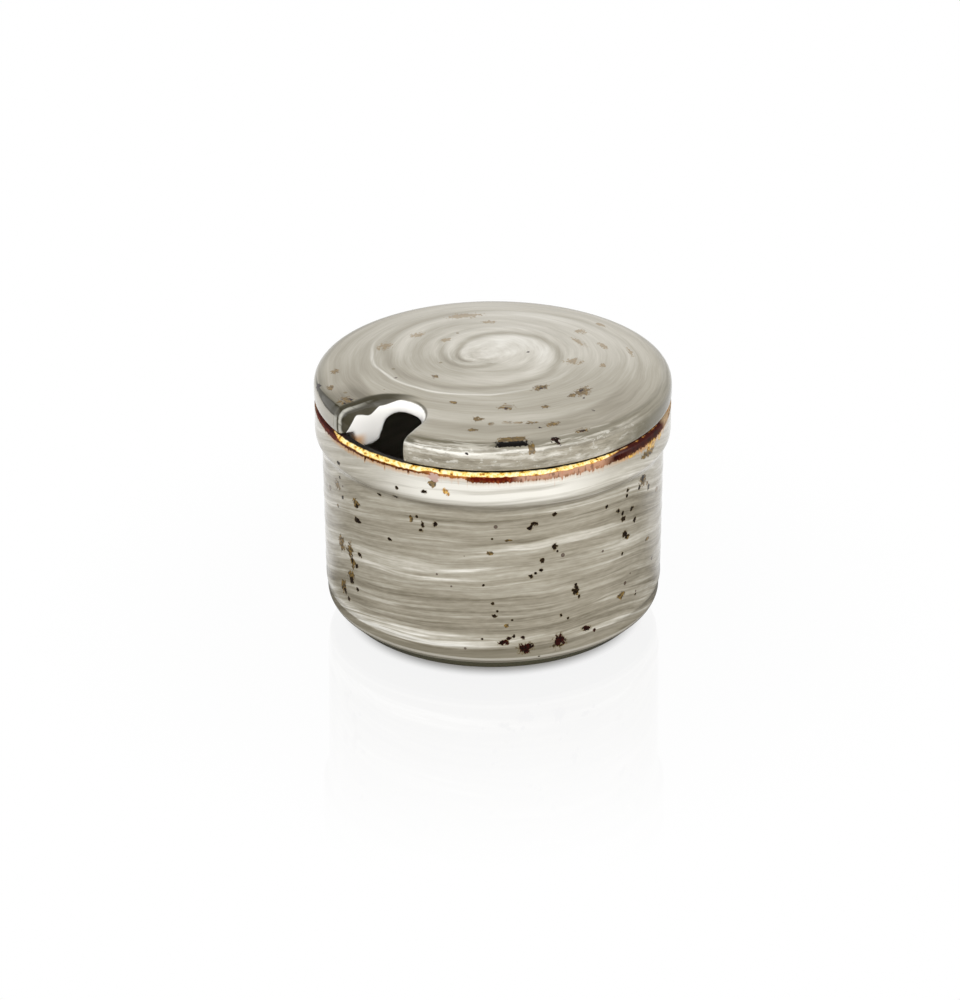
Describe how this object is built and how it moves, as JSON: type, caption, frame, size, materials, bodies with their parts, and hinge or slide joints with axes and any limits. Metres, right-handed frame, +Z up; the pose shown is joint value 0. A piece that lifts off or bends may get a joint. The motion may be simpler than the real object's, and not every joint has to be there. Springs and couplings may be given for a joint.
{
  "type": "lidded condiment pot",
  "caption": "Round glazed porcelain pot with a flared collar and a loose domed lid that drops into the mouth and has a spoon notch in its edge.",
  "frame": {"origin": "centre of the foot ring, on the table", "axes": "+Z up along the pot's axis, -Y towards the notch in the lid, +X to the right seen from the notch"},
  "size_m": [0.09, 0.0899, 0.0682],
  "materials": {
    "pot_glaze": "glossy warm grey brushed glaze with dark brown specks, unglazed foot ring",
    "lid_glaze": "glossy warm grey glaze brushed in a spiral, white where the notch and the underside are bare of colour"
  },
  "bodies": {
    "pot": {"pot": "pot_glaze"},
    "lid": {"lid": "lid_glaze"}
  },
  "joints": [
    {"name": "lid_lift", "type": "slide", "parent": "pot", "child": "lid", "axis": [0, 0, 1], "range_m": [0, 0.06]}
  ]
}
